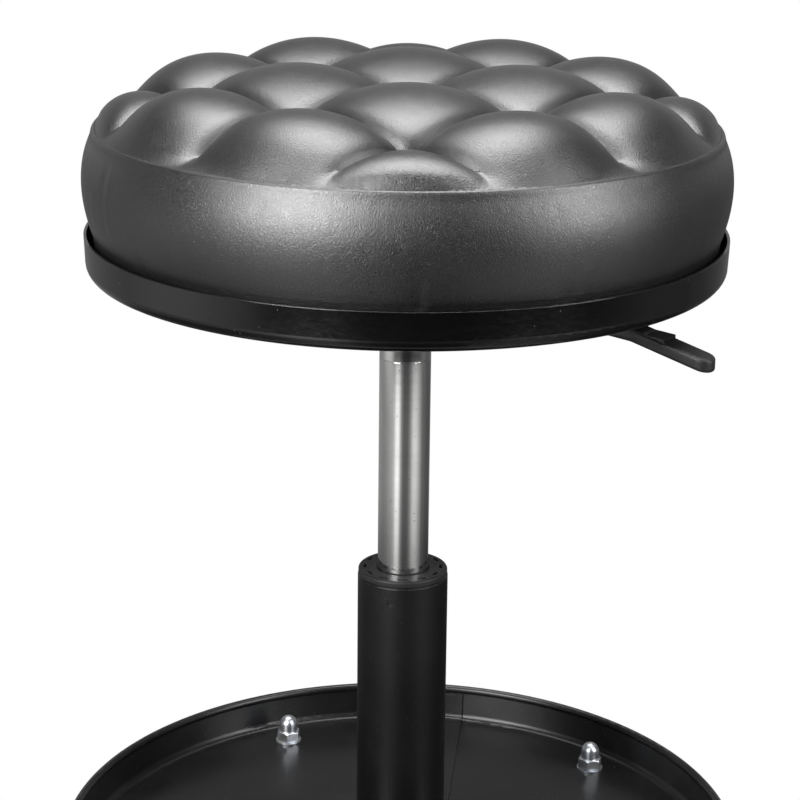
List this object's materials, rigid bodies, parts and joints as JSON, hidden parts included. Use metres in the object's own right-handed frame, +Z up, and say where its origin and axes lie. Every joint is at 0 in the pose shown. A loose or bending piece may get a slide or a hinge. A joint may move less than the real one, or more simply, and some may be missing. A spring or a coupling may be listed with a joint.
{
  "type": "creeper seat",
  "caption": "Round quilted workshop stool on a height-adjustable column, with a shallow round tool tray above swivel casters.",
  "frame": {"origin": "on the floor, on the column's axis", "axes": "+Z up along the column; the lever points to the right and towards -Y, the front"},
  "size_m": [0.384, 0.384, 0.544],
  "materials": {
    "vinyl": "satin grained vinyl",
    "foam": "open foam",
    "plywood": "raw plywood",
    "zinc_steel": "bright zinc plated",
    "gloss_black_steel": "gloss enamel",
    "black_steel": "satin powder coat",
    "polished_steel": "polished",
    "plain_steel": "machined",
    "black_plastic": "matte moulded",
    "black_rubber": "soft rubber"
  },
  "bodies": {
    "base": {"hub_socket": "black_steel", "arm_1": "black_steel", "arm_2": "black_steel", "arm_3": "black_steel", "arm_4": "black_steel", "arm_5": "black_steel", "tray_left": "black_steel", "tray_right": "black_steel", "dome_nuts": "zinc_steel", "tray_washers": "zinc_steel", "caster_stems": "zinc_steel", "column_tube": "black_steel", "column_base": "plain_steel", "guide_bushing": "black_plastic", "lower_race": "plain_steel", "bearing_balls": "plain_steel"},
    "lift_rod": {"piston_rod": "polished_steel", "piston": "black_plastic", "rod_clip": "plain_steel", "bump_stop": "black_rubber", "upper_race": "plain_steel"},
    "seat": {"seat_cover": "vinyl", "seat_foam": "foam", "seat_board": "plywood", "tee_nuts": "zinc_steel", "seat_bolts": "zinc_steel", "seat_pan": "gloss_black_steel", "mechanism_housing": "black_steel", "cone_socket": "black_steel", "lever_pin": "zinc_steel", "gas_chamber": "polished_steel", "pressure_tube": "plain_steel", "valve_body": "plain_steel", "rod_gland": "black_plastic"},
    "lever": {"lever_arm": "zinc_steel", "lever_grip": "black_plastic"},
    "valve": {"valve_button": "plain_steel"},
    "caster_fork_1": {"fork_1": "zinc_steel", "axle_1": "zinc_steel"},
    "caster_wheel_1": {"wheel_1": "black_plastic", "tyre_1": "black_rubber"},
    "caster_fork_2": {"fork_2": "zinc_steel", "axle_2": "zinc_steel"},
    "caster_wheel_2": {"wheel_2": "black_plastic", "tyre_2": "black_rubber"},
    "caster_fork_3": {"fork_3": "zinc_steel", "axle_3": "zinc_steel"},
    "caster_wheel_3": {"wheel_3": "black_plastic", "tyre_3": "black_rubber"},
    "caster_fork_4": {"fork_4": "zinc_steel", "axle_4": "zinc_steel"},
    "caster_wheel_4": {"wheel_4": "black_plastic", "tyre_4": "black_rubber"},
    "caster_fork_5": {"fork_5": "zinc_steel", "axle_5": "zinc_steel"},
    "caster_wheel_5": {"wheel_5": "black_plastic", "tyre_5": "black_rubber"}
  },
  "joints": [
    {"name": "seat_swivel", "type": "hinge", "parent": "base", "child": "lift_rod", "pos_m": [0, 0, 0.06], "axis": [0, 0, 1], "continuous": true},
    {"name": "seat_height", "type": "slide", "parent": "lift_rod", "child": "seat", "axis": [0, 0, 1], "range_m": [-0.12, 0]},
    {"name": "lever_lift", "type": "hinge", "parent": "seat", "child": "lever", "pos_m": [0.02949, -0.02065, 0.43485], "axis": [-0.5736, -0.8192, 0], "range_deg": [0, 4.5], "stiffness_Nm_per_rad": 2, "springref_deg": -14.32},
    {"name": "valve_push", "type": "slide", "parent": "seat", "child": "valve", "axis": [0, 0, 1], "range_m": [-0.003, 0]},
    {"name": "caster_swivel_1", "type": "hinge", "parent": "base", "child": "caster_fork_1", "pos_m": [0.11837, 0.11351, 0.06], "axis": [0, 0, 1], "continuous": true},
    {"name": "wheel_roll_1", "type": "hinge", "parent": "caster_fork_1", "child": "caster_wheel_1", "pos_m": [0.10383, 0.12867, 0.025], "axis": [-0.7218, -0.6921, 0], "continuous": true},
    {"name": "caster_swivel_2", "type": "hinge", "parent": "base", "child": "caster_fork_2", "pos_m": [-0.07138, 0.14765, 0.06], "axis": [0, 0, 1], "continuous": true},
    {"name": "wheel_roll_2", "type": "hinge", "parent": "caster_fork_2", "child": "caster_wheel_2", "pos_m": [-0.09029, 0.13851, 0.025], "axis": [0.4352, -0.9003, 0], "continuous": true},
    {"name": "caster_swivel_3", "type": "hinge", "parent": "base", "child": "caster_fork_3", "pos_m": [-0.16248, -0.02226, 0.06], "axis": [0, 0, 1], "continuous": true},
    {"name": "wheel_roll_3", "type": "hinge", "parent": "caster_fork_3", "child": "caster_wheel_3", "pos_m": [-0.15963, -0.04306, 0.025], "axis": [0.9907, 0.1357, 0], "continuous": true},
    {"name": "caster_swivel_4", "type": "hinge", "parent": "base", "child": "caster_fork_4", "pos_m": [-0.02904, -0.16141, 0.06], "axis": [0, 0, 1], "continuous": true},
    {"name": "wheel_roll_4", "type": "hinge", "parent": "caster_fork_4", "child": "caster_wheel_4", "pos_m": [-0.00837, -0.16513, 0.025], "axis": [0.1771, 0.9842, 0], "continuous": true},
    {"name": "caster_swivel_5", "type": "hinge", "parent": "base", "child": "caster_fork_5", "pos_m": [0.14453, -0.0775, 0.06], "axis": [0, 0, 1], "continuous": true},
    {"name": "wheel_roll_5", "type": "hinge", "parent": "caster_fork_5", "child": "caster_wheel_5", "pos_m": [0.15446, -0.05899, 0.025], "axis": [-0.8813, 0.4726, 0], "continuous": true}
  ],
  "couplings": [
    {"joint": "valve_push", "follows": "lever_lift", "m_per_rad": -0.036}
  ]
}
